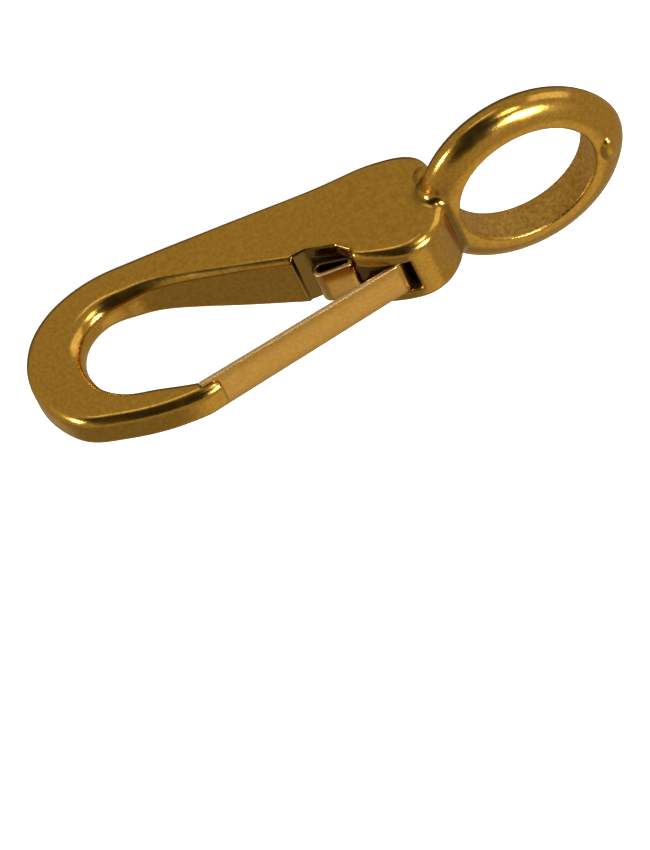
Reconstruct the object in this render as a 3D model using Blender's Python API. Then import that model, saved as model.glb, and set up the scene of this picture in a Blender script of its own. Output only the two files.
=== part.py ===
"""Fixed-eye spring snap hook: a one-piece bronze casting and the leaf spring that gates it.

The hook is drawn as a plan: x from the bowl to the eye, y from the gate side to the spine, and a
height across the casting, which is symmetric about height 0. Lengths are millimetres from the
centre of the eye, and PLAN_SHIFT moves them to the middle of the object's box. The plan is then
stood on the hook's spine, the edge that it lies on when it is put down: frame X is plan x, frame Y
is the height and frame Z is minus plan y.
"""
import math

import bmesh
import bpy
from mathutils import Vector

MM = 0.001

# ---- driving dimensions, in millimetres ---------------------------------------------------
EYE_INNER_RADIUS = 10.35
EYE_OUTER_RADIUS = 15.4
EYE_WIDTH = 5.6                 # along plan y, across the flat inner wall
EYE_EDGE = 0.5                  # small round between the inner wall and the sides
EYE_END_SWELL = 0.4             # extra metal on the far end of the eye
EYE_STEPS = 48
EYE_PROFILE_STEPS = 10

BOWL = 3.0                      # half thickness of the casting round the bowl
BOSS = 6.2                      # half thickness at the boss

STRIP_THICKNESS = 0.7
STRIP_WIDTH = 6.3
GATE_TIP_WIDTH = 7.1            # the leaf widens from its root to its tip
GATE_TIP_CORNER = 0.6
CLEARANCE = 0.3

GATE_TIP = Vector((-53.9, -7.25))
GATE_ROOT = Vector((-23.2, -6.0))

HAIRPIN_CENTRE = Vector((-22.6, -4.25))     # bend inside the boss
HAIRPIN_RADIUS = 1.75                       # mean radii of the bends
ROLL_CENTRE = Vector((-31.1, 0.05))         # bend that stands in the notch
ROLL_RADIUS = 1.0
RETURN_LEG_HEADING = 349.0                  # degrees from +X
RETURN_LEG_LENGTH = 3.6
CURL_RADIUS = 0.7
CURL_TURN = 100.0

NOTCH_FLOOR = (Vector((-31.9, 2.4)), Vector((-27.9, 0.2)))
NOTCH_LIPS = (Vector((-33.9, 2.6)), Vector((-26.3, -2.0)))
NOTCH_SIDE_HEADINGS = (-125.0, -112.0)      # from the lips outward, square to the wall
NOTCH_OVERCUT = 4.0             # how far the notch cutter stands out of the wall

POCKET_HEIGHT = STRIP_WIDTH + 2.0 * CLEARANCE
POCKET_END = -19.9
POCKET_BEVEL = 1.0              # slanted corner of the pocket round the hairpin, along x
POCKET_BEVEL_TOP = 0.2          # and its ends, below the straight wall's start
POCKET_BEVEL_FOOT = 1.6
POCKET_OVERCUT = 5.0            # how far the pocket cutter stands out on the gate side

SEAT_LENGTH = 8.0               # rebate for the gate's tip, from the tip toward the root
CUTTER_HALF_HEIGHT = 12.0       # reaches past both faces of the casting
CORNER_LIMIT = 0.9              # an edge round takes at most this share of a half side

PLAN_SHIFT = Vector((29.37, -5.25, 0.0))

# Sections of the casting from the nose round the bowl and along the shank to the boss:
# outer wall x, y, inner wall x, y, half thickness, edge radius.
SECTIONS = (
    (-51.3, -8.5, -51.1, -6.6, 2.9, 0.9),
    (-54.6, -8.8, -54.2, -5.6, BOWL, 1.3),
    (-60.4, -7.6, -59.1, -3.2, BOWL, 1.6),
    (-66.2, -5.4, -63.1, -1.2, BOWL, 1.7),
    (-71.3, -2.4, -65.6, 1.6, BOWL, 1.7),
    (-74.0, 2.5, -66.4, 4.6, BOWL, 1.7),
    (-74.5, 7.6, -66.3, 7.3, BOWL, 1.7),
    (-73.3, 12.0, -65.3, 9.8, BOWL, 1.7),
    (-70.4, 15.8, -63.3, 11.8, BOWL, 1.7),
    (-65.7, 18.4, -60.5, 12.9, BOWL, 1.6),
    (-59.3, 19.3, -57.0, 12.7, 3.1, 1.5),
    (-52.4, 18.0, -51.5, 11.3, 3.7, 1.4),
    (-40.0, 14.75, -41.0, 5.7, 4.9, 1.2),
    (-28.4, 11.8, -30.3, -0.4, 5.8, 1.1),
    (-22.5, 10.7, -24.9, -4.5, BOSS, 1.2),
    (-17.3, 10.0, -20.2, -6.9, BOSS, 1.6),
    (-13.6, 8.8, -16.4, -6.9, BOSS, 1.8),
    (-11.4, 6.8, -13.4, -5.0, BOSS, 1.8),
    (-10.8, 4.0, -11.7, -2.4, BOSS, 1.8),
)
STEPS_BETWEEN_SECTIONS = 3
CORNER_STEPS = 3

SHARP_ANGLE = math.radians(35.0)


def clear_scene():
    """Remove every object that the opened file holds."""
    for old in list(bpy.data.objects):
        bpy.data.objects.remove(old, do_unlink=True)


def material(name, colour, roughness):
    """A metallic Principled material."""
    result = bpy.data.materials.new(name)
    result.use_nodes = True
    shader = result.node_tree.nodes["Principled BSDF"]
    shader.inputs["Base Color"].default_value = (*colour, 1.0)
    shader.inputs["Metallic"].default_value = 1.0
    shader.inputs["Roughness"].default_value = roughness
    return result


def stood(plan_vector):
    """A plan direction or length in millimetres, turned into the frame, in metres."""
    return Vector((plan_vector.x, plan_vector.z, -plan_vector.y)) * MM


def placed(x, y, height):
    """A plan point in millimetres from the eye's centre, in the frame's metres."""
    return stood(Vector((x, y, height)) + PLAN_SHIFT)


def add_object(name, bm, surface=None):
    """Turn a bmesh into a named object with outward normals."""
    bmesh.ops.recalc_face_normals(bm, faces=bm.faces)
    mesh = bpy.data.meshes.new(name)
    bm.to_mesh(mesh)
    bm.free()
    thing = bpy.data.objects.new(name, mesh)
    bpy.context.collection.objects.link(thing)
    if surface is not None:
        mesh.materials.append(surface)
        mesh.shade_smooth()
        mesh.set_sharp_from_angle(angle=SHARP_ANGLE)
    return thing


def add_cutter(name, bm):
    """A helper that only shapes another object through a Boolean."""
    thing = add_object(name, bm)
    thing.hide_render = True
    thing.display_type = 'WIRE'
    return thing


def boolean(target, tool, operation):
    """Join or cut target with tool by an exact Boolean modifier."""
    modifier = target.modifiers.new(tool.name, 'BOOLEAN')
    modifier.operation = operation
    modifier.solver = 'EXACT'
    modifier.object = tool


def smooth_row(rows, position):
    """Catmull-Rom interpolation of the rows of numbers at a fractional row position."""
    index = min(int(position), len(rows) - 2)
    t = position - index
    first = rows[max(index - 1, 0)]
    last = rows[min(index + 2, len(rows) - 1)]
    values = []
    for a, b, c, d in zip(first, rows[index], rows[index + 1], last):
        values.append(0.5 * (2 * b + (c - a) * t + (2 * a - 5 * b + 4 * c - d) * t ** 2
                             + (3 * b - a - 3 * c + d) * t ** 3))
    return values


def section_ring(row):
    """Points of one rounded-rectangle section standing between the outer and the inner wall."""
    outer = Vector((row[0], row[1]))
    inner = Vector((row[2], row[3]))
    half_thickness = row[4]
    across = (inner - outer).normalized()
    half_width = (inner - outer).length / 2.0
    middle = (inner + outer) / 2.0
    radius = min(row[5], CORNER_LIMIT * half_width, CORNER_LIMIT * half_thickness)
    points = []
    for quarter, (side, level) in enumerate(((1, 1), (-1, 1), (-1, -1), (1, -1))):
        for step in range(CORNER_STEPS + 1):
            angle = math.radians(90.0 * (quarter + step / CORNER_STEPS))
            along = side * (half_width - radius) + radius * math.cos(angle)
            height = level * (half_thickness - radius) + radius * math.sin(angle)
            spot = middle + across * along
            points.append(placed(spot.x, spot.y, height))
    return points


def hook_blank():
    """The hook, shank and boss lofted through the sections as one closed mesh."""
    bm = bmesh.new()
    count = (len(SECTIONS) - 1) * STEPS_BETWEEN_SECTIONS + 1
    loops = []
    for number in range(count):
        ring = section_ring(smooth_row(SECTIONS, number / STEPS_BETWEEN_SECTIONS))
        loops.append([bm.verts.new(point) for point in ring])
    size = len(loops[0])
    for before, after in zip(loops, loops[1:]):
        for k in range(size):
            bm.faces.new((before[k], before[(k + 1) % size], after[(k + 1) % size], after[k]))
    bm.faces.new(loops[0])
    bm.faces.new(loops[-1])
    return bm


def eye_profile(outer_radius):
    """D-shaped section of the eye as (radius, y): a flat inner wall and a rounded outside."""
    half = EYE_WIDTH / 2.0
    depth = outer_radius - EYE_INNER_RADIUS - EYE_EDGE
    points = [(EYE_INNER_RADIUS, half - EYE_EDGE), (EYE_INNER_RADIUS, EYE_EDGE - half)]
    for step in range(EYE_PROFILE_STEPS + 1):
        angle = math.radians(-90.0 + 180.0 * step / EYE_PROFILE_STEPS)
        points.append((EYE_INNER_RADIUS + EYE_EDGE + depth * math.cos(angle), half * math.sin(angle)))
    return points


def eye_ring():
    """The eye: its section swept about the plan's y direction through the eye's centre."""
    bm = bmesh.new()
    loops = []
    for step in range(EYE_STEPS):
        angle = 2.0 * math.pi * step / EYE_STEPS
        swell = EYE_END_SWELL * max(0.0, math.cos(angle)) ** 12
        profile = eye_profile(EYE_OUTER_RADIUS + swell)
        loops.append([bm.verts.new(placed(radius * math.cos(angle), y, radius * math.sin(angle)))
                      for radius, y in profile])
    size = len(loops[0])
    for step in range(EYE_STEPS):
        here = loops[step]
        there = loops[(step + 1) % EYE_STEPS]
        for k in range(size):
            bm.faces.new((here[k], here[(k + 1) % size], there[(k + 1) % size], there[k]))
    return bm


def prism(outline, half_height):
    """A plan outline extruded to both sides of the middle plane."""
    bm = bmesh.new()
    face = bm.faces.new([bm.verts.new(placed(p.x, p.y, -half_height)) for p in outline])
    grown = bmesh.ops.extrude_face_region(bm, geom=[face])
    raised = [item for item in grown["geom"] if isinstance(item, bmesh.types.BMVert)]
    bmesh.ops.translate(bm, verts=raised, vec=stood(Vector((0.0, 0.0, 2.0 * half_height))))
    return bm


def heading_vector(degrees):
    """Unit plan vector of a heading in degrees from +X."""
    angle = math.radians(degrees)
    return Vector((math.cos(angle), math.sin(angle)))


def bend_points(centre, radius, start_heading, end_heading, steps_per_turn=24):
    """Points of a left-hand bend about a centre, from one heading to another."""
    steps = max(2, round((end_heading - start_heading) / 360.0 * steps_per_turn))
    points = []
    for step in range(steps + 1):
        heading = start_heading + (end_heading - start_heading) * step / steps
        points.append(centre - heading_vector(heading + 90.0) * radius)
    return points


def thickened(path, half):
    """Outline of a strip of the given half thickness along a centre line."""
    left = []
    right = []
    for k, point in enumerate(path):
        tangent = (path[min(k + 1, len(path) - 1)] - path[max(k - 1, 0)]).normalized()
        normal = Vector((-tangent.y, tangent.x))
        left.append(point + normal * half)
        right.append(point - normal * half)
    return left + right[::-1]


def gate_heading():
    """Direction of the leaf from its tip to its root, in degrees from +X."""
    along = GATE_ROOT - GATE_TIP
    return math.degrees(math.atan2(along.y, along.x))


def inner_leg_heading():
    """Direction of the straight leg that touches both the hairpin and the roll."""
    span = ROLL_CENTRE - HAIRPIN_CENTRE
    lean = math.asin((ROLL_RADIUS - HAIRPIN_RADIUS) / span.length)
    return math.degrees(math.atan2(span.y, span.x) - lean)


def anchor_path():
    """Centre line of the strip's held part: hairpin, inner leg, roll, return leg and end curl."""
    start = GATE_ROOT + heading_vector(gate_heading()) * CLEARANCE
    hairpin = bend_points(HAIRPIN_CENTRE, HAIRPIN_RADIUS, gate_heading(), inner_leg_heading())
    roll = bend_points(ROLL_CENTRE, ROLL_RADIUS, inner_leg_heading(), RETURN_LEG_HEADING)
    leg_end = roll[-1] + heading_vector(RETURN_LEG_HEADING) * RETURN_LEG_LENGTH
    curl_centre = leg_end + heading_vector(RETURN_LEG_HEADING + 90.0) * CURL_RADIUS
    curl = bend_points(curl_centre, CURL_RADIUS, RETURN_LEG_HEADING, RETURN_LEG_HEADING + CURL_TURN)
    return [start] + hairpin + roll + curl


def notch_outline():
    """Shallow full-thickness notch with slanted ends in the shank's inner wall."""
    outside = [lip + heading_vector(side) * NOTCH_OVERCUT
               for lip, side in zip(NOTCH_LIPS, NOTCH_SIDE_HEADINGS)]
    return (outside[0], outside[1], NOTCH_LIPS[1], NOTCH_FLOOR[1], NOTCH_FLOOR[0], NOTCH_LIPS[0])


def pocket_outline():
    """Deep slot for the strip, open to the gate side and running from the notch to the boss."""
    reach = STRIP_THICKNESS / 2.0 + 2.0 * CLEARANCE
    heading = inner_leg_heading()
    behind = heading_vector(heading - 90.0)
    leg_start = HAIRPIN_CENTRE + behind * (HAIRPIN_RADIUS + reach)
    leg_end = ROLL_CENTRE + behind * (ROLL_RADIUS + reach) + heading_vector(heading) * ROLL_RADIUS
    open_side = GATE_TIP.y - POCKET_OVERCUT
    corner = leg_start.y - POCKET_BEVEL_FOOT
    return (Vector((leg_end.x, open_side)), Vector((POCKET_END, open_side)),
            Vector((POCKET_END, corner)),
            Vector((POCKET_END - POCKET_BEVEL, leg_start.y - POCKET_BEVEL_TOP)),
            leg_start, leg_end)


def seat_outline():
    """Rebate on the inside of the nose in which the tip of the gate rests."""
    back = heading_vector(gate_heading() - 90.0) * (STRIP_THICKNESS / 2.0 + CLEARANCE)
    corner = GATE_TIP - heading_vector(gate_heading()) * CLEARANCE + back
    mouth = GATE_TIP + heading_vector(gate_heading()) * SEAT_LENGTH + back
    return (corner, mouth, Vector((mouth.x, 0.0)), Vector((corner.x, 0.0)))


def make_hook_body(surface):
    """The casting: lofted hook, shank and boss, joined to the eye, then notched and pocketed."""
    body = add_object("hook_body", hook_blank(), surface)
    boolean(body, add_cutter("eye_ring_tool", eye_ring()), 'UNION')
    boolean(body, add_cutter("notch_tool", prism(notch_outline(), CUTTER_HALF_HEIGHT)), 'DIFFERENCE')
    boolean(body, add_cutter("pocket_tool", prism(pocket_outline(), POCKET_HEIGHT / 2.0)), 'DIFFERENCE')
    boolean(body, add_cutter("seat_tool", prism(seat_outline(), CUTTER_HALF_HEIGHT)), 'DIFFERENCE')
    return body


def make_spring_anchor(surface):
    """The fixed end of the leaf spring, held in the pocket."""
    outline = thickened(anchor_path(), STRIP_THICKNESS / 2.0)
    return add_object("spring_anchor", prism(outline, STRIP_WIDTH / 2.0), surface)


def gate_side_profile():
    """Side view of the leaf as (distance from the tip, half width)."""
    length = (GATE_ROOT - GATE_TIP).length
    tip = GATE_TIP_WIDTH / 2.0
    return ((0.0, tip - GATE_TIP_CORNER), (GATE_TIP_CORNER, tip), (length, STRIP_WIDTH / 2.0))


def make_gate_leaf(surface):
    """The springing leg that closes the mouth, hung on its root where it meets the anchor."""
    along = heading_vector(gate_heading())
    normal = heading_vector(gate_heading() + 90.0)
    root = placed(GATE_ROOT.x, GATE_ROOT.y, 0.0)
    upper = gate_side_profile()
    lower = [(distance, -height) for distance, height in reversed(upper)]
    bm = bmesh.new()
    verts = []
    for distance, height in list(upper) + lower:
        spot = GATE_TIP + along * distance - normal * STRIP_THICKNESS / 2.0
        verts.append(bm.verts.new(placed(spot.x, spot.y, height) - root))
    face = bm.faces.new(verts)
    grown = bmesh.ops.extrude_face_region(bm, geom=[face])
    raised = [item for item in grown["geom"] if isinstance(item, bmesh.types.BMVert)]
    bmesh.ops.translate(bm, verts=raised, vec=stood(normal.to_3d() * STRIP_THICKNESS))
    leaf = add_object("gate_leaf", bm, surface)
    hinge = bpy.data.objects.new("gate_hinge", None)
    bpy.context.collection.objects.link(hinge)
    hinge.location = root
    leaf.parent = hinge
    return leaf


def main():
    clear_scene()
    cast_bronze = material("cast_bronze", (0.50, 0.30, 0.07), 0.30)
    spring_bronze = material("spring_bronze", (0.66, 0.36, 0.09), 0.25)
    make_hook_body(cast_bronze)
    make_spring_anchor(spring_bronze)
    make_gate_leaf(spring_bronze)


main()
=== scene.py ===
"""Looks of the fixed-eye spring snap hook: a polished bronze casting and its bent spring strip.

Shapes are laid out in the same plan as the CAD: x from the bowl to the eye, y from the gate side to
the spine, and a height across the casting, in millimetres from the centre of the eye. stood() turns
that plan into the frame, whose X is plan x, Y is the height and Z is minus plan y.
"""
import math

import bmesh
import bpy
import numpy as np
from mathutils import Matrix, Vector


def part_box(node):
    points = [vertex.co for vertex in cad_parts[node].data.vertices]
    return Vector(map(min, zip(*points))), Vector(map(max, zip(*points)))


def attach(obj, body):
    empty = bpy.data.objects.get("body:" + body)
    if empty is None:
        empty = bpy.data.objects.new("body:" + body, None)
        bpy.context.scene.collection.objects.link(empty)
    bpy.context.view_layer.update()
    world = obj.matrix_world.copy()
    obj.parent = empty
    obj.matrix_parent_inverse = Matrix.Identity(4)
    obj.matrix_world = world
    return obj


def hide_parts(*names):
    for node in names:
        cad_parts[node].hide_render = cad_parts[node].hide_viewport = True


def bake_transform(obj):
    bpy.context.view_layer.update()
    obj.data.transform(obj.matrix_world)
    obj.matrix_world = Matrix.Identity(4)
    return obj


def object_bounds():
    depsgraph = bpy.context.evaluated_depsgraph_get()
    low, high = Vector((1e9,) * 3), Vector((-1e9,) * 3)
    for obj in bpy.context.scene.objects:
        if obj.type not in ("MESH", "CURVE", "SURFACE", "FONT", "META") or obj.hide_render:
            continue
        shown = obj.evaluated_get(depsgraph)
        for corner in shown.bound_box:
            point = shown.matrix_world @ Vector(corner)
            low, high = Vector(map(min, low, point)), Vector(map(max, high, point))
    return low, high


MM = 0.001

# ---- sizes repeated from the CAD, in millimetres ---------------------------------------------
EYE_INNER = 10.35
EYE_OUTER = 15.4
EYE_HALF_WIDTH = 2.8
EYE_EDGE = 0.5
EYE_END_SWELL = 0.4
EYE_SWELL_SHARPNESS = 12
BOX_MIDDLE = 5.25            # plan y of the middle of the object's box

STRIP_THICKNESS = 0.7
STRIP_WIDTH = 6.3
GATE_TIP_WIDTH = 7.1
CLEARANCE = 0.3
GATE_TIP = Vector((-53.9, -7.25))
GATE_ROOT = Vector((-23.2, -6.0))
HAIRPIN_CENTRE = Vector((-22.6, -4.25))
HAIRPIN_RADIUS = 1.75
ROLL_CENTRE = Vector((-31.1, 0.05))
ROLL_RADIUS = 1.0
RETURN_LEG_HEADING = 349.0
RETURN_LEG_LENGTH = 3.6
CURL_RADIUS = 0.7
CURL_TURN = 100.0

NOTCH_FLOOR = (Vector((-31.9, 2.4)), Vector((-27.9, 0.2)))
NOTCH_LIPS = (Vector((-33.9, 2.6)), Vector((-26.3, -2.0)))
NOTCH_SIDE_HEADINGS = (-125.0, -112.0)
NOTCH_OVERCUT = 4.0
POCKET_HALF_HEIGHT = STRIP_WIDTH / 2.0 + CLEARANCE
POCKET_END = -19.9
POCKET_BEVEL = 1.0
POCKET_BEVEL_TOP = 0.2
POCKET_BEVEL_FOOT = 1.6
POCKET_OVERCUT = 5.0
SEAT_LENGTH = 8.0
SEAT_GAP = 0.03              # narrower than in the CAD: the real leaf rests against the nose

BOWL = 3.0
BOSS = 6.2
# outer wall x, y, inner wall x, y, half thickness, then the radius of the outer and the inner edges;
# the nose and the inside of the bend are rounder here than in the CAD
SECTIONS = (
    (-51.3, -8.5, -51.1, -6.6, 2.9, 1.6, 1.6),
    (-54.6, -8.8, -54.2, -5.6, BOWL, 1.7, 1.7),
    (-60.4, -7.6, -59.1, -3.2, BOWL, 1.6, 1.7),
    (-66.2, -5.4, -63.1, -1.2, BOWL, 1.7, 1.9),
    (-71.3, -2.4, -65.6, 1.6, BOWL, 1.7, 2.3),
    (-74.0, 2.5, -66.4, 4.6, BOWL, 1.7, 2.6),
    (-74.5, 7.6, -66.3, 7.3, BOWL, 1.7, 2.8),
    (-73.3, 12.0, -65.3, 9.8, BOWL, 1.7, 2.8),
    (-70.4, 15.8, -63.3, 11.8, BOWL, 1.7, 2.8),
    (-65.7, 18.4, -60.5, 12.9, BOWL, 1.6, 2.7),
    (-59.3, 19.3, -57.0, 12.7, 3.1, 1.5, 2.4),
    (-52.4, 18.0, -51.5, 11.3, 3.7, 1.4, 1.9),
    (-40.0, 14.75, -41.0, 5.7, 4.9, 1.2, 1.3),
    (-28.4, 11.8, -30.3, -0.4, 5.8, 1.1, 1.1),
    (-22.5, 10.7, -24.9, -4.5, BOSS, 1.2, 1.2),
    (-17.3, 10.0, -20.2, -6.9, BOSS, 1.6, 1.6),
    (-13.6, 8.8, -16.4, -6.9, BOSS, 1.8, 1.8),
    (-11.4, 6.8, -13.4, -5.0, BOSS, 1.8, 1.8),
    (-10.8, 4.0, -11.7, -2.4, BOSS, 1.8, 1.8),
)

# ---- how the casting's surface is made --------------------------------------------------------
FINE_STEPS = 24             # steps between two sections of the smooth shape
COARSE_STEPS = 6            # and of the rough one
ROUGH_EYE_STEPS = 96
ROUGH_EYE_RIM = 2.0         # half width of the rough eye at its outside
VOXEL = 0.25                # of the mesh that is drawn onto the smooth shape
DRAW_ON_PASSES = 3
LONGEST_MOVE = 2.0 * VOXEL  # of a point in one pass
GRADIENT_STEP = 0.02
LEAST_SLOPE = 0.1
WINDOW = 6                  # outline segments on each side of the nearest one that are tried
CHUNK = 4000                # points measured at a time
ROOT_BLEND = 1.3            # fillet where the eye grows out of the boss
CUT_ROUND = 0.30            # rounding of the edges of the notch, the pocket and the root line
SEAT_ROUND = 0.12           # rounding of the seat's edges

# shallow line round the root of the eye on both faces, with a casting pit at its end
ROOT_LINE_CENTRE = (-11.8, 2.8)
ROOT_LINE_RADIUS = 1.7
ROOT_LINE_END = -10.9       # plan x where the line runs out
ROOT_LINE_SIZE = 0.22
ROOT_PIT = (-11.6, 0.7)
ROOT_PIT_SIZE = 0.42

# plain raised pad on the gate side of the eye's far end
PAD_RING = 12.5             # its distance from the eye's centre
PAD_ANGLE = -10.0
PAD_HALF_SIZE = (2.3, 1.25, 0.85)        # round the eye, outward, and along its axis
PAD_SUNK = 0.25
PAD_BLEND = 0.2
PAD_SUBDIVISIONS = 3

BORE_REACH = 0.12           # how far past the eye's bore its rough skin goes
POCKET_REACH = 2.0 * VOXEL  # how far round the pocket its painted near-black shade goes

# ---- how the strip is made --------------------------------------------------------------------
LEAF_STEPS = 40
LEG_STEPS = 12
RETURN_LEG_STEPS = 6
BEND_STEPS = 72             # in a full turn
STRIP_EDGE_ROUND = 0.12
SHEARED_FACE = 0.9          # a face turned this much to the strip's width is a sheared edge
SHARP_ANGLE = 50.0

# ---- painted shade, darkening the crease round the eye's root, the walls beside the eye, the root line, the cuts and the strip inside the pocket: how far it reaches and how strong it is ---
CREASE_PAINTED_SHADE = (0.60, 0.60)
EYE_WALL_PAINTED_SHADE = (2.2, 0.75)
ROOT_LINE_PAINTED_SHADE = (0.12, 0.75)
CUT_PAINTED_SHADE = (0.30, 0.80)
POCKET_STRIP_PAINTED_SHADE = 0.92       # painted shade on the strip inside the pocket
HIDDEN_STEPS = (46, 112)    # steps of the strip's path that are inside it
FADE_STEPS = 8              # over which it fades at both ends

# ---- finishes ---------------------------------------------------------------------------------
# dark and light tone, roughness, strength of the grain, and whether it takes the painted shade
FINISHES = {
    "cast_bronze_look": ((0.60, 0.335, 0.052), (0.74, 0.450, 0.095), 0.18, 0.15, True),
    "bore_look": ((0.50, 0.292, 0.060), (0.84, 0.520, 0.138), 0.42, 0.9, False),
    # the pocket's faces: near-black tones that paint the shade inside the slot
    "pocket_painted_shade_look": ((0.05, 0.026, 0.007), (0.14, 0.082, 0.021), 0.6, 0.5, False),
    "spring_bronze_look": ((0.73, 0.425, 0.107), (0.83, 0.515, 0.155), 0.22, 0.12, True),
    "sheared_edge_look": ((0.80, 0.548, 0.260), (0.92, 0.700, 0.430), 0.30, 0.1, True),
}
# colour of the painted shade laid into creases, cuts and the pocket
PAINTED_SHADE_COLOUR = (0.16, 0.095, 0.028)
# scale and detail of each noise
MOTTLE = (1700.0, 10.0)     # between the dark and the light tone
PATCHES = (420.0, 4.0)      # of more and less gloss
GRAIN = (3200.0, 4.0)
MOTTLE_RANGE = (0.32, 0.68)
GLOSS_SPREAD = (-0.06, 0.08)
GRAIN_DEPTH = 0.00005

# ---- the studio: directions in the frame ------------------------------------------------------
ROOM_LEVEL = 0.40           # what the flat faces mirror
ROOM_COLOUR = (1.0, 0.84, 0.55)
WHITE = (1.0, 1.0, 1.0)
# parts of the room that are dimmer: toward, level, and the cosines between which it falls
DIM_SIDES = (
    (Vector((-0.22, 0.42, 0.88)), 0.02, (0.80, 0.93)),      # the unlit side beside the main light
    (Vector((-0.60, -0.72, 0.34)), 0.24, (0.72, 0.93)),     # behind the bowl
    (Vector((0.0, -0.35, -0.93)), 0.12, (0.72, 0.94)),      # under the spine
    (Vector((-0.40, 0.82, 0.41)), 0.03, (0.84, 0.94)),      # above the mouth
)
LIGHT_DISTANCE = 0.45
# name, direction, the way that the first side runs, the two sides, power and colour
LIGHTS = (
    ("main", Vector((0.36, 0.18, 0.91)), Vector((0.70, -0.70, -0.14)), (0.16, 0.14), 1.3, WHITE),
    ("right", Vector((0.86, 0.48, 0.06)), Vector((0.0, 0.0, 1.0)), (0.34, 0.30), 0.22, WHITE),
    ("top", Vector((-0.10, 0.98, -0.17)), Vector((1.0, 0.0, 0.0)), (0.24, 0.06), 0.045, WHITE),
    ("left", Vector((-0.875, 0.46, 0.14)), Vector((0.0, 0.0, 1.0)), (0.09, 0.11), 0.80, WHITE),
    ("behind", Vector((0.03, -0.80, 0.60)), Vector((1.0, 0.0, 0.0)), (0.24, 0.26), 0.048, ROOM_COLOUR),
    ("high", Vector((0.32, 0.74, 0.58)), Vector((1.0, 0.0, 0.0)), (0.10, 0.12), 0.20, WHITE),
)
FLOOR_HALF = 12.0
FLOOR_GAP = 0.0005
FLOOR_GREY = 0.93
FLOOR_ROUGHNESS = 0.9
FLOOR_GLOW = 0.85

# ---- the view, as directions in the frame and lengths in metres ------------------------------
TO_CAMERA = Vector((-0.036, 0.797, 0.603))
IMAGE_RIGHT = Vector((0.868, -0.274, 0.415))
VIEW_SPAN = 0.1188          # height of the framed area
EYE_RIGHT_OF_CENTRE = 0.02728
EYE_ABOVE_CENTRE = 0.03553
LENS = 1000.0               # long enough to look parallel
SENSOR = 36.0
CLIP_END = 50.0


def stood(x, y, height):
    """A plan point relative to the plan's own origin, turned into the frame's axes."""
    return Vector((x, height, -y))


def smooth_row(rows, position):
    """Catmull-Rom interpolation of the rows of numbers at a fractional row position."""
    index = min(int(position), len(rows) - 2)
    t = position - index
    a = np.array(rows[max(index - 1, 0)])
    b = np.array(rows[index])
    c = np.array(rows[index + 1])
    d = np.array(rows[min(index + 2, len(rows) - 1)])
    return 0.5 * (2 * b + (c - a) * t + (2 * a - 5 * b + 4 * c - d) * t ** 2
                  + (3 * b - a - 3 * c + d) * t ** 3)


def section_rows(steps):
    """The casting's sections with the given number of steps between two of them."""
    count = (len(SECTIONS) - 1) * steps + 1
    return np.array([smooth_row(SECTIONS, k / steps) for k in range(count)])


# ---- the casting as a smooth field: negative inside, in millimetres ---------------------------
def soft_min(a, b, size):
    """The lower of two fields, with a fillet of about the given size where they meet."""
    share = np.clip(0.5 + 0.5 * (b - a) / size, 0.0, 1.0)
    return b + (a - b) * share - size * share * (1.0 - share)


def soft_max(a, b, size):
    """The higher of two fields, with a round of about the given size where they meet."""
    return -soft_min(-a, -b, size)


def polygon_field(points, outline):
    """Signed distance in plan to a closed outline, negative inside."""
    best = np.full(len(points), 1e9)
    inside = np.zeros(len(points), bool)
    count = len(outline)
    for k in range(count):
        a = outline[k]
        b = outline[(k + 1) % count]
        edge = b - a
        offset = points - a
        t = np.clip(offset @ edge / (edge @ edge), 0.0, 1.0)
        best = np.minimum(best, ((offset - t[:, None] * edge) ** 2).sum(1))
        crosses = (a[1] > points[:, 1]) != (b[1] > points[:, 1])
        rise = edge[1] if abs(edge[1]) > 1e-12 else 1e-12
        inside ^= crosses & (points[:, 0] < a[0] + edge[0] * (points[:, 1] - a[1]) / rise)
    return np.where(inside, -1.0, 1.0) * np.sqrt(best)


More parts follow.
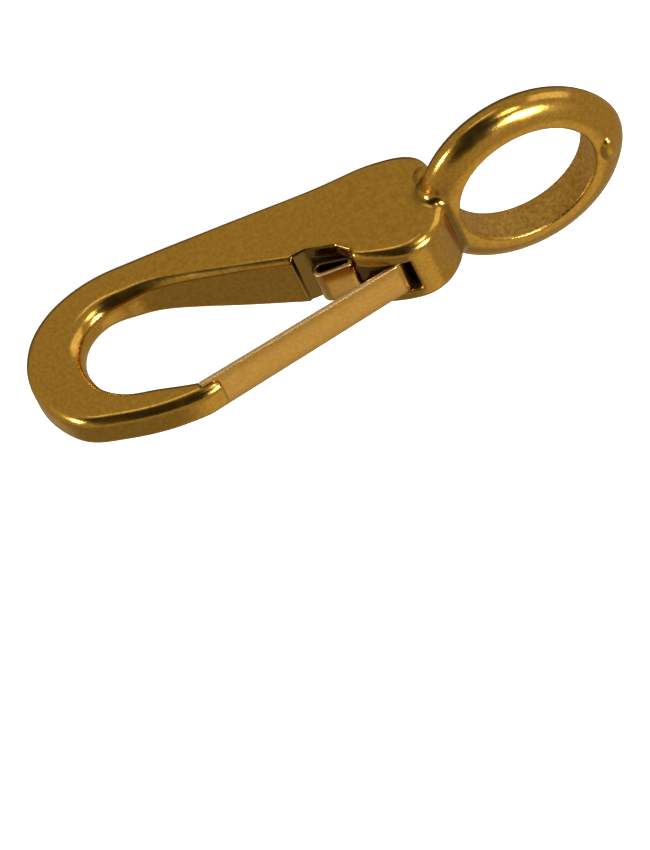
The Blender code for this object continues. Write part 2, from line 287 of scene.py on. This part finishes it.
class Casting:
    """The field of the whole casting, measured near points that are given once."""

    def __init__(self, points):
        rows = section_rows(FINE_STEPS)
        self.outline = np.vstack([rows[:, 0:2], rows[::-1, 2:4]])
        self.next = np.roll(self.outline, -1, axis=0)
        self.middle = (rows[:, 0:2] + rows[:, 2:4]) / 2.0
        self.rows = rows
        self.nearest = self.find_nearest(points, self.outline)
        self.centre = self.find_nearest(points, self.middle)
        heading = self.next - self.outline
        area = 0.5 * np.sum(self.outline[:, 0] * self.next[:, 1] - self.next[:, 0] * self.outline[:, 1])
        self.out = np.stack([heading[:, 1], -heading[:, 0]], 1) * np.sign(area)

    @staticmethod
    def find_nearest(points, targets):
        """Index of the target nearest to each point in plan."""
        found = []
        for start in range(0, len(points), CHUNK):
            part = points[start:start + CHUNK, None, 0:2] - targets[None]
            found.append((part ** 2).sum(2).argmin(1))
        return np.concatenate(found)

    def plan_distance(self, points):
        """Signed plan distance to the outline, from the segments round the nearest one."""
        count = len(self.outline)
        reach = np.arange(-WINDOW, WINDOW)
        index = (self.nearest[:, None] + reach[None]) % count
        a = self.outline[index]
        edge = self.next[index] - a
        offset = points[:, None, 0:2] - a
        length = np.maximum((edge ** 2).sum(2), 1e-12)
        t = np.clip((offset * edge).sum(2) / length, 0.0, 1.0)
        away = offset - t[..., None] * edge
        square = (away ** 2).sum(2)
        pick = square.argmin(1)
        row = np.arange(len(points))
        side = (away[row, pick] * self.out[index[row, pick]]).sum(1)
        return np.sign(side) * np.sqrt(square[row, pick])

    def thickness(self, points):
        """Half thickness and edge radius beside each point, read along the middle line."""
        last = len(self.middle) - 1
        here = np.clip(self.centre, 1, last - 1)
        along = self.middle[here + 1] - self.middle[here - 1]       # spans two rows
        step = ((points[:, 0:2] - self.middle[here]) * along).sum(1) / (along ** 2).sum(1)
        place = np.clip(here + 2.0 * step, 0.0, last)
        low = np.minimum(place.astype(int), last - 1)
        part = (place - low)[:, None]
        values = self.rows[low, 4:7] * (1.0 - part) + self.rows[low + 1, 4:7] * part
        outside = self.nearest < len(self.rows)
        return values[:, 0], np.where(outside, values[:, 1], values[:, 2])

    def hook_field(self, points, half, radius):
        """Signed distance to the hook and boss, without the eye and before the cuts."""
        beside = self.plan_distance(points) + radius
        above = np.abs(points[:, 2]) - half + radius
        corner = np.hypot(np.maximum(beside, 0.0), np.maximum(above, 0.0))
        return np.minimum(np.maximum(beside, above), 0.0) + corner - radius

    def painted_shade(self, points):
        """How much painted shade each surface point gets: 0 on the open faces, and more in creases and
        cuts.
        """
        half, radius = self.thickness(points)
        hook = self.hook_field(points, half, radius)
        eye = eye_field(points)
        seat = np.array(seat_outline())
        notch = np.array(notch_outline())
        cut = np.minimum(polygon_field(points[:, 0:2], notch), polygon_field(points[:, 0:2], seat))
        # painted shade: in the crease round the eye's root, on the side walls beside the eye, in the root
        # line and pit, and in the notch and seat
        wall = np.clip(half - radius / 2.0 - np.abs(points[:, 2]), 0.0, 1.0) * (hook < eye)
        depths = (painted_shade_fade(hook - eye, CREASE_PAINTED_SHADE), wall * painted_shade_fade(eye, EYE_WALL_PAINTED_SHADE),
                  painted_shade_fade(root_line_field(points, half), ROOT_LINE_PAINTED_SHADE),
                  painted_shade_fade(np.maximum(cut, 0.0), CUT_PAINTED_SHADE))
        return np.max(depths, axis=0)

    def field(self, points):
        """Signed distance to the finished casting."""
        half, radius = self.thickness(points)
        hook = self.hook_field(points, half, radius)
        whole = soft_min(hook, eye_field(points), ROOT_BLEND)
        whole = soft_min(whole, pad_field(points), PAD_BLEND)
        for outline, half_height, rounding in cuts():
            inside = polygon_field(points[:, 0:2], outline)
            cut = soft_max(inside, np.abs(points[:, 2]) - half_height, rounding)
            whole = soft_max(whole, -cut, rounding)
        return soft_max(whole, -root_line_field(points, half), CUT_ROUND)


def painted_shade_fade(distance, reach_and_strength):
    """Painted shade that fades with distance."""
    reach, strength = reach_and_strength
    return strength * np.exp(-(distance / reach) ** 2)


def eye_field(points):
    """Signed distance to the eye: a flat inner wall and a rounded outside."""
    radius = np.hypot(points[:, 0], points[:, 2])
    angle = np.arctan2(points[:, 2], points[:, 0])
    swell = EYE_END_SWELL * np.maximum(0.0, np.cos(angle)) ** EYE_SWELL_SHARPNESS
    depth = EYE_OUTER + swell - EYE_INNER - EYE_EDGE
    across = np.hypot((radius - EYE_INNER - EYE_EDGE) / depth, points[:, 1] / EYE_HALF_WIDTH)
    rounded = (across - 1.0) * np.minimum(depth, EYE_HALF_WIDTH)
    return soft_max(rounded, EYE_INNER - radius, EYE_EDGE)


def pad_frame():
    """Centre of the rounded pad on the eye, and its axes scaled to its half sizes, in plan millimetres."""
    angle = math.radians(PAD_ANGLE)
    outward = Vector((math.cos(angle), 0.0, math.sin(angle)))
    around = Vector((-math.sin(angle), 0.0, math.cos(angle)))
    centre = outward * PAD_RING + Vector((0.0, PAD_SUNK - EYE_HALF_WIDTH, 0.0))
    sizes = (around * PAD_HALF_SIZE[0], outward * PAD_HALF_SIZE[1], Vector((0.0, PAD_HALF_SIZE[2], 0.0)))
    return centre, sizes


def pad_field(points):
    """Roughly the signed distance to the rounded pad."""
    centre, sizes = pad_frame()
    offset = points - np.array(centre)
    scaled = np.stack([offset @ np.array(size) / size.length_squared for size in sizes], 1)
    return (np.linalg.norm(scaled, axis=1) - 1.0) * min(PAD_HALF_SIZE)


def root_line_field(points, half):
    """Signed distance to the thin groove and the pit beside the root of the eye."""
    height = np.abs(points[:, 2]) - half
    from_line = np.hypot(points[:, 0] - ROOT_LINE_CENTRE[0], points[:, 1] - ROOT_LINE_CENTRE[1])
    groove = np.hypot(from_line - ROOT_LINE_RADIUS, height) - ROOT_LINE_SIZE
    groove = np.maximum(groove, points[:, 0] - ROOT_LINE_END)
    pit = np.hypot(np.hypot(points[:, 0] - ROOT_PIT[0], points[:, 1] - ROOT_PIT[1]), height) - ROOT_PIT_SIZE
    return np.minimum(groove, pit)


def heading_vector(degrees):
    """Unit plan vector of a heading in degrees from +x."""
    angle = math.radians(degrees)
    return Vector((math.cos(angle), math.sin(angle)))


def gate_heading():
    """Direction of the leaf from its tip to its root."""
    along = GATE_ROOT - GATE_TIP
    return math.degrees(math.atan2(along.y, along.x))


def inner_leg_heading():
    """Direction of the straight leg that touches both the hairpin and the roll."""
    span = ROLL_CENTRE - HAIRPIN_CENTRE
    lean = math.asin((ROLL_RADIUS - HAIRPIN_RADIUS) / span.length)
    return math.degrees(math.atan2(span.y, span.x) - lean)


def notch_outline():
    """Shallow notch across the whole shank."""
    outside = [lip + heading_vector(side) * NOTCH_OVERCUT
               for lip, side in zip(NOTCH_LIPS, NOTCH_SIDE_HEADINGS)]
    return (outside[0], outside[1], NOTCH_LIPS[1], NOTCH_FLOOR[1], NOTCH_FLOOR[0], NOTCH_LIPS[0])


def pocket_outline():
    """Deep slot that holds the strip."""
    reach = STRIP_THICKNESS / 2.0 + 2.0 * CLEARANCE
    heading = inner_leg_heading()
    behind = heading_vector(heading - 90.0)
    leg_start = HAIRPIN_CENTRE + behind * (HAIRPIN_RADIUS + reach)
    leg_end = ROLL_CENTRE + behind * (ROLL_RADIUS + reach) + heading_vector(heading) * ROLL_RADIUS
    open_side = GATE_TIP.y - POCKET_OVERCUT
    return (Vector((leg_end.x, open_side)), Vector((POCKET_END, open_side)),
            Vector((POCKET_END, leg_start.y - POCKET_BEVEL_FOOT)),
            Vector((POCKET_END - POCKET_BEVEL, leg_start.y - POCKET_BEVEL_TOP)), leg_start, leg_end)


def seat_outline():
    """Rebate inside the nose in which the gate's tip rests."""
    back = heading_vector(gate_heading() - 90.0) * (STRIP_THICKNESS / 2.0 + SEAT_GAP)
    corner = GATE_TIP - heading_vector(gate_heading()) * SEAT_GAP + back
    mouth = GATE_TIP + heading_vector(gate_heading()) * SEAT_LENGTH + back
    return (corner, mouth, Vector((mouth.x, 0.0)), Vector((corner.x, 0.0)))


def cuts():
    """Outline, half height and rounding of each cut in the casting."""
    through = 3.0 * BOSS
    return ((np.array(notch_outline()), through, CUT_ROUND),
            (np.array(pocket_outline()), POCKET_HALF_HEIGHT, CUT_ROUND),
            (np.array(seat_outline()), through, SEAT_ROUND))


# ---- meshes ----------------------------------------------------------------------------------
def plan_shift():
    """What is added to a plan point to move it into the frame, measured on the CAD's casting."""
    low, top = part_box("hook_body")
    return Vector((top.x / MM - EYE_OUTER - EYE_END_SWELL, (low.z + top.z) / 2.0 / MM - BOX_MIDDLE))


def to_frame(points):
    """Plan points in millimetres as frame points in metres."""
    shift = plan_shift()
    moved = np.stack([points[:, 0] + shift.x, points[:, 2], -(points[:, 1] + shift.y)], 1)
    return moved * MM


def linked(bm, name):
    """An object made of a bmesh, with its normals put right."""
    bmesh.ops.recalc_face_normals(bm, faces=bm.faces)
    mesh = bpy.data.meshes.new(name)
    bm.to_mesh(mesh)
    bm.free()
    thing = bpy.data.objects.new(name, mesh)
    bpy.context.scene.collection.objects.link(thing)
    return thing


def join_rings(bm, before, after):
    """Faces between two rings of as many points."""
    count = len(before)
    for k in range(count):
        bm.faces.new((before[k], before[(k + 1) % count], after[(k + 1) % count], after[k]))


def add_rough_hook(bm):
    """The hook and boss with square edges."""
    loops = []
    for row in section_rows(COARSE_STEPS):
        corners = [(row[0:2], -row[4]), (row[2:4], -row[4]), (row[2:4], row[4]), (row[0:2], row[4])]
        loops.append([bm.verts.new((p[0], p[1], h)) for p, h in corners])
    for before, after in zip(loops, loops[1:]):
        join_rings(bm, before, after)
    bm.faces.new(loops[0])
    bm.faces.new(loops[-1])


def add_rough_eye(bm):
    """The eye with four flat sides."""
    corners = ((EYE_INNER, -EYE_HALF_WIDTH), (EYE_OUTER, -ROUGH_EYE_RIM),
               (EYE_OUTER, ROUGH_EYE_RIM), (EYE_INNER, EYE_HALF_WIDTH))
    rings = []
    for step in range(ROUGH_EYE_STEPS):
        angle = 2.0 * math.pi * step / ROUGH_EYE_STEPS
        rings.append([bm.verts.new((radius * math.cos(angle), y, radius * math.sin(angle)))
                      for radius, y in corners])
    for step in range(ROUGH_EYE_STEPS):
        join_rings(bm, rings[step], rings[(step + 1) % ROUGH_EYE_STEPS])


def add_rough_pad(bm):
    """The raised pad on the eye."""
    centre, sizes = pad_frame()
    placed = Matrix(sizes).transposed().to_4x4()
    placed.translation = centre
    bmesh.ops.create_icosphere(bm, subdivisions=PAD_SUBDIVISIONS, radius=1.0, matrix=placed)


def rough_casting():
    """A plain closed mesh of the casting in plan millimetres, as the start for the fine one."""
    bm = bmesh.new()
    add_rough_hook(bm)
    add_rough_eye(bm)
    add_rough_pad(bm)
    return linked(bm, "rough_casting")


def add_cutter(outline, half_height):
    """A prism in plan millimetres."""
    bm = bmesh.new()
    face = bm.faces.new([bm.verts.new((p[0], p[1], -half_height)) for p in outline])
    grown = bmesh.ops.extrude_face_region(bm, geom=[face])
    raised = [item for item in grown["geom"] if isinstance(item, bmesh.types.BMVert)]
    bmesh.ops.translate(bm, verts=raised, vec=(0.0, 0.0, 2.0 * half_height))
    return linked(bm, "cut")


def applied(thing):
    """Replace an object's mesh by what its modifiers make of it."""
    bpy.context.view_layer.update()
    graph = bpy.context.evaluated_depsgraph_get()
    mesh = bpy.data.meshes.new_from_object(thing.evaluated_get(graph))
    thing.modifiers.clear()
    thing.data = mesh


def add_remesh(thing, name):
    """Even square faces all over, with overlapping shells joined."""
    remesh = thing.modifiers.new(name, 'REMESH')
    remesh.mode = 'VOXEL'
    remesh.voxel_size = VOXEL


def coordinates(mesh):
    """A mesh's points as an array."""
    flat = np.zeros(len(mesh.vertices) * 3)
    mesh.vertices.foreach_get("co", flat)
    return flat.reshape(-1, 3)


def drawn_on(points):
    """The points moved onto the smooth casting's surface, by one pass."""
    casting = Casting(points)
    value = casting.field(points)
    slope = np.zeros_like(points)
    for axis in range(3):
        shifted = points.copy()
        shifted[:, axis] += GRADIENT_STEP
        ahead = casting.field(shifted)
        shifted[:, axis] -= 2.0 * GRADIENT_STEP
        slope[:, axis] = (ahead - casting.field(shifted)) / (2.0 * GRADIENT_STEP)
    size = np.maximum((slope ** 2).sum(1), LEAST_SLOPE)
    move = slope * (value / size)[:, None]
    length = np.linalg.norm(move, axis=1)
    limit = np.minimum(1.0, LONGEST_MOVE / np.maximum(length, 1e-9))
    return points - move * limit[:, None]


def make_casting():
    """The casting: a voxel mesh of the rough shape, drawn onto the smooth field."""
    thing = rough_casting()
    add_remesh(thing, "join")
    applied(thing)
    tools = [add_cutter(outline, half) for outline, half, _ in cuts()]
    for tool in tools:
        cut = thing.modifiers.new("cut", 'BOOLEAN')
        cut.operation = 'DIFFERENCE'
        cut.solver = 'EXACT'
        cut.object = tool
    add_remesh(thing, "even")
    applied(thing)
    for tool in tools:
        bpy.data.objects.remove(tool, do_unlink=True)
    points = coordinates(thing.data)
    for _ in range(DRAW_ON_PASSES):
        points = drawn_on(points)
    finish_casting(thing, points)
    return thing


def finish_casting(thing, points):
    """Put the drawn points into the frame, mark the bore's rough faces and the pocket's faces, which are
    painted near-black as shade, and store the painted shade of every point.
    """
    mesh = thing.data           # all of its faces have four corners
    mesh.materials.clear()
    for finish in ("cast_bronze_look", "bore_look", "pocket_painted_shade_look"):
        mesh.materials.append(bronze(finish))
    corners = np.zeros(len(mesh.loops), int)
    mesh.loops.foreach_get("vertex_index", corners)
    middle = points[corners.reshape(-1, 4)].mean(1)
    bore = np.hypot(middle[:, 0], middle[:, 2]) < EYE_INNER + BORE_REACH
    # the pocket's faces get the near-black painted shade
    pocket = polygon_field(middle[:, 0:2], np.array(pocket_outline())) < POCKET_REACH
    pocket &= np.abs(middle[:, 2]) < POCKET_HALF_HEIGHT + VOXEL
    pocket &= Casting(middle).plan_distance(middle) < -POCKET_REACH
    slots = np.where(bore, 1, np.where(pocket, 2, 0)).astype(np.int32)
    mesh.polygons.foreach_set("material_index", slots)
    # per point: how much painted shade it gets
    depth = mesh.attributes.new("painted_shade", 'FLOAT', 'POINT')
    depth.data.foreach_set("value", Casting(points).painted_shade(points).astype(np.float32))
    mesh.vertices.foreach_set("co", to_frame(points).ravel())
    mesh.update()
    mesh.shade_smooth()
    thing.name = "cast_hook"


def bend_points(centre, radius, start_heading, end_heading):
    """Points of a left-hand bend about a centre, from one heading to another."""
    turn = end_heading - start_heading
    steps = max(2, round(turn / 360.0 * BEND_STEPS))
    return [centre - heading_vector(start_heading + turn * k / steps + 90.0) * radius
            for k in range(steps + 1)]


def strip_path():
    """Centre line of the whole strip, from the gate's tip to the end curl."""
    leaf = [GATE_TIP.lerp(GATE_ROOT, k / LEAF_STEPS) for k in range(LEAF_STEPS)]
    hairpin = bend_points(HAIRPIN_CENTRE, HAIRPIN_RADIUS, gate_heading(), inner_leg_heading())
    roll = bend_points(ROLL_CENTRE, ROLL_RADIUS, inner_leg_heading(), RETURN_LEG_HEADING)
    leg = [hairpin[-1].lerp(roll[0], k / LEG_STEPS) for k in range(1, LEG_STEPS)]
    leg_end = roll[-1] + heading_vector(RETURN_LEG_HEADING) * RETURN_LEG_LENGTH
    back = [roll[-1].lerp(leg_end, k / RETURN_LEG_STEPS) for k in range(1, RETURN_LEG_STEPS)]
    curl_centre = leg_end + heading_vector(RETURN_LEG_HEADING + 90.0) * CURL_RADIUS
    curl = bend_points(curl_centre, CURL_RADIUS, RETURN_LEG_HEADING, RETURN_LEG_HEADING + CURL_TURN)
    return leaf + hairpin + leg + roll + back + curl


def strip_ring(bm, point, tangent, half_width):
    """The strip's section at a point of its path, with rounded corners."""
    normal = Vector((-tangent.y, tangent.x))
    ring = []
    for side, level in ((1, 1), (-1, 1), (-1, -1), (1, -1)):
        for part in (0, 1, 2) if side * level > 0 else (2, 1, 0):
            angle = math.radians(45.0 * part)
            across = STRIP_THICKNESS / 2.0 - STRIP_EDGE_ROUND + STRIP_EDGE_ROUND * math.cos(angle)
            along = half_width - STRIP_EDGE_ROUND + STRIP_EDGE_ROUND * math.sin(angle)
            spot = point + normal * side * across
            ring.append(bm.verts.new((spot.x, spot.y, level * along)))
    return ring


def make_strip():
    """The spring: one strip with sheared, slightly rounded edges, bent along its path."""
    path = strip_path()
    last = len(path) - 1
    gate_length = (GATE_ROOT - GATE_TIP).length
    bm = bmesh.new()
    loops = []
    for k, point in enumerate(path):
        tangent = (path[min(k + 1, last)] - path[max(k - 1, 0)]).normalized()
        from_tip = min((point - GATE_TIP).length / gate_length, 1.0) if k <= LEAF_STEPS else 1.0
        half_width = (GATE_TIP_WIDTH + (STRIP_WIDTH - GATE_TIP_WIDTH) * from_tip) / 2.0
        loops.append(strip_ring(bm, point, tangent, half_width))
    for before, after in zip(loops, loops[1:]):
        join_rings(bm, before, after)
    bm.faces.new(loops[0])
    bm.faces.new(loops[-1])
    thing = linked(bm, "spring_strip")
    finish_strip(thing.data, len(path))
    return thing


def finish_strip(mesh, steps):
    """Put the strip into the frame, mark its sheared edges and paint shade onto the stretch that the pocket
    hides.
    """
    mesh.vertices.foreach_set("co", to_frame(coordinates(mesh)).ravel())
    mesh.update()
    for finish in ("spring_bronze_look", "sheared_edge_look"):
        mesh.materials.append(bronze(finish))
    for face in mesh.polygons:
        face.material_index = int(abs(face.normal.y) > SHEARED_FACE)
    ring_size = len(mesh.vertices) // steps
    # painted shade on the stretch of strip inside the pocket, fading in at both ends
    depth = mesh.attributes.new("painted_shade", 'FLOAT', 'POINT')
    for k, point in enumerate(depth.data):
        step = k // ring_size
        inside = min(step - HIDDEN_STEPS[0], HIDDEN_STEPS[1] - step) / FADE_STEPS
        point.value = POCKET_STRIP_PAINTED_SHADE * min(max(inside, 0.0), 1.0)
    mesh.shade_smooth()
    mesh.set_sharp_from_angle(angle=math.radians(SHARP_ANGLE))


# ---- materials -------------------------------------------------------------------------------
def add_noise(tree, scale, detail):
    """A noise texture fixed to the object."""
    where = tree.nodes.new("ShaderNodeTexCoord")
    node = tree.nodes.new("ShaderNodeTexNoise")
    node.inputs["Scale"].default_value = scale
    node.inputs["Detail"].default_value = detail
    tree.links.new(where.outputs["Object"], node.inputs["Vector"])
    return node.outputs["Fac"]


def mottled(tree, dark, light):
    """A colour that wanders between two tones."""
    ramp = tree.nodes.new("ShaderNodeValToRGB")
    for element, position, tone in zip(ramp.color_ramp.elements, MOTTLE_RANGE, (dark, light)):
        element.position = position
        element.color = (*tone, 1.0)
    tree.links.new(add_noise(tree, *MOTTLE), ramp.inputs["Fac"])
    return ramp.outputs["Color"]


def darkened(tree, colour):
    """The colour with painted shade over it, by the mesh's own painted-shade value."""
    depth = tree.nodes.new("ShaderNodeAttribute")
    depth.attribute_name = "painted_shade"
    mix = tree.nodes.new("ShaderNodeMixRGB")
    mix.inputs["Color2"].default_value = (*PAINTED_SHADE_COLOUR, 1.0)
    tree.links.new(depth.outputs["Fac"], mix.inputs["Fac"])
    tree.links.new(colour, mix.inputs["Color1"])
    return mix.outputs["Color"]


def bronze(name):
    """Polished bronze: mottled colour, uneven gloss and a fine cast grain, with painted shade laid over the
    colour where the finish takes it.
    """
    dark, light, roughness, grain, takes_painted_shade = FINISHES[name]
    made = bpy.data.materials.new(name)
    made.use_nodes = True
    tree = made.node_tree
    shader = tree.nodes["Principled BSDF"]
    shader.inputs["Metallic"].default_value = 1.0
    colour = mottled(tree, dark, light)
    if takes_painted_shade:
        colour = darkened(tree, colour)
    tree.links.new(colour, shader.inputs["Base Color"])
    gloss = tree.nodes.new("ShaderNodeMapRange")
    gloss.inputs["To Min"].default_value = roughness + GLOSS_SPREAD[0]
    gloss.inputs["To Max"].default_value = roughness + GLOSS_SPREAD[1]
    tree.links.new(add_noise(tree, *PATCHES), gloss.inputs["Value"])
    tree.links.new(gloss.outputs["Result"], shader.inputs["Roughness"])
    bump = tree.nodes.new("ShaderNodeBump")
    bump.inputs["Strength"].default_value = grain
    bump.inputs["Distance"].default_value = GRAIN_DEPTH
    tree.links.new(add_noise(tree, *GRAIN), bump.inputs["Height"])
    tree.links.new(bump.outputs["Normal"], shader.inputs["Normal"])
    return made


# ---- the studio -------------------------------------------------------------------------------
def add_floor(level):
    """A plain white floor just under the object."""
    corners = [(x * FLOOR_HALF, y * FLOOR_HALF, level) for x, y in ((-1, -1), (1, -1), (1, 1), (-1, 1))]
    mesh = bpy.data.meshes.new("floor")
    mesh.from_pydata(corners, [], [(0, 1, 2, 3)])
    thing = bpy.data.objects.new("floor", mesh)
    bpy.context.scene.collection.objects.link(thing)
    white = bpy.data.materials.new("floor_white")
    white.use_nodes = True
    shader = white.node_tree.nodes["Principled BSDF"]
    shader.inputs["Base Color"].default_value = (FLOOR_GREY, FLOOR_GREY, FLOOR_GREY, 1.0)
    shader.inputs["Roughness"].default_value = FLOOR_ROUGHNESS
    shader.inputs["Emission Color"].default_value = (*WHITE, 1.0)
    shader.inputs["Emission Strength"].default_value = FLOOR_GLOW
    mesh.materials.append(white)
    thing.visible_glossy = False


def add_light(name, direction, side, size, power, colour):
    """A rectangular soft light that looks at the object from a direction."""
    data = bpy.data.lights.new(name, 'AREA')
    data.shape = 'RECTANGLE'
    data.size = size[0]
    data.size_y = size[1]
    data.energy = power
    data.color = colour
    thing = bpy.data.objects.new(name, data)
    away = direction.normalized()
    thing.matrix_world = facing(away, side, away * LIGHT_DISTANCE)
    thing.visible_camera = False
    bpy.context.scene.collection.objects.link(thing)


def facing(back, right_hint, place):
    """A matrix whose Z is back, whose X is close to the hint, and whose origin is place."""
    back = back.normalized()
    right = (right_hint - back * right_hint.dot(back)).normalized()
    up = back.cross(right)
    turned = Matrix((right, up, back)).transposed().to_4x4()
    turned.translation = place
    return turned


def add_camera():
    """A nearly parallel view from the side that shows the gate."""
    back = TO_CAMERA.normalized()
    right = (IMAGE_RIGHT - back * IMAGE_RIGHT.dot(back)).normalized()
    up = back.cross(right)
    shift = plan_shift()
    eye = stood(shift.x, shift.y, 0.0) * MM
    centre = eye - right * EYE_RIGHT_OF_CENTRE - up * EYE_ABOVE_CENTRE
    data = bpy.data.cameras.new("camera")
    data.lens = LENS
    data.sensor_width = SENSOR
    data.clip_end = CLIP_END
    thing = bpy.data.objects.new("camera", data)
    thing.matrix_world = facing(back, right, centre + back * (VIEW_SPAN * LENS / SENSOR))
    bpy.context.scene.collection.objects.link(thing)
    bpy.context.scene.camera = thing


def add_world():
    """An even, warm room with dimmer sides, so that the rounded edges have something dark to mirror."""
    world = bpy.data.worlds.new("studio")
    world.use_nodes = True
    tree = world.node_tree
    where = tree.nodes.new("ShaderNodeTexCoord")
    level = None
    for direction, dim, (edge, core) in DIM_SIDES:
        toward = tree.nodes.new("ShaderNodeVectorMath")
        toward.operation = 'DOT_PRODUCT'
        toward.inputs[1].default_value = direction.normalized()
        tree.links.new(where.outputs["Generated"], toward.inputs[0])
        fall = tree.nodes.new("ShaderNodeMapRange")
        fall.interpolation_type = 'SMOOTHSTEP'
        fall.inputs["From Min"].default_value = edge
        fall.inputs["From Max"].default_value = core
        fall.inputs["To Min"].default_value = ROOM_LEVEL
        fall.inputs["To Max"].default_value = dim
        tree.links.new(toward.outputs["Value"], fall.inputs["Value"])
        if level is None:
            level = fall.outputs["Result"]
            continue
        lower = tree.nodes.new("ShaderNodeMath")
        lower.operation = 'MINIMUM'
        tree.links.new(level, lower.inputs[0])
        tree.links.new(fall.outputs["Result"], lower.inputs[1])
        level = lower.outputs["Value"]
    tree.links.new(level, tree.nodes["Background"].inputs["Strength"])
    tree.nodes["Background"].inputs["Color"].default_value = (*ROOM_COLOUR, 1.0)
    bpy.context.scene.world = world


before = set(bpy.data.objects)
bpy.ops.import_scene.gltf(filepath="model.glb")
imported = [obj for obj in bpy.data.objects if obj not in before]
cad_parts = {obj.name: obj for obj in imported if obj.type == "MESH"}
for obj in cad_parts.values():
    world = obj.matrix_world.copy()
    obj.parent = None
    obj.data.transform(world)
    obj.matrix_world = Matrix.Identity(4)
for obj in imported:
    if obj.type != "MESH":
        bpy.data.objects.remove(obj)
cad_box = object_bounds()

hook = make_casting()
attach(hook, "casting")
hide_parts("hook_body")

spring = make_strip()
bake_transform(spring)
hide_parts("gate_leaf", "spring_anchor")

add_floor(cad_box[0][2] - FLOOR_GAP)
add_world()
for light in LIGHTS:
    add_light(*light)
add_camera()
bpy.context.scene.view_settings.view_transform = 'Standard'
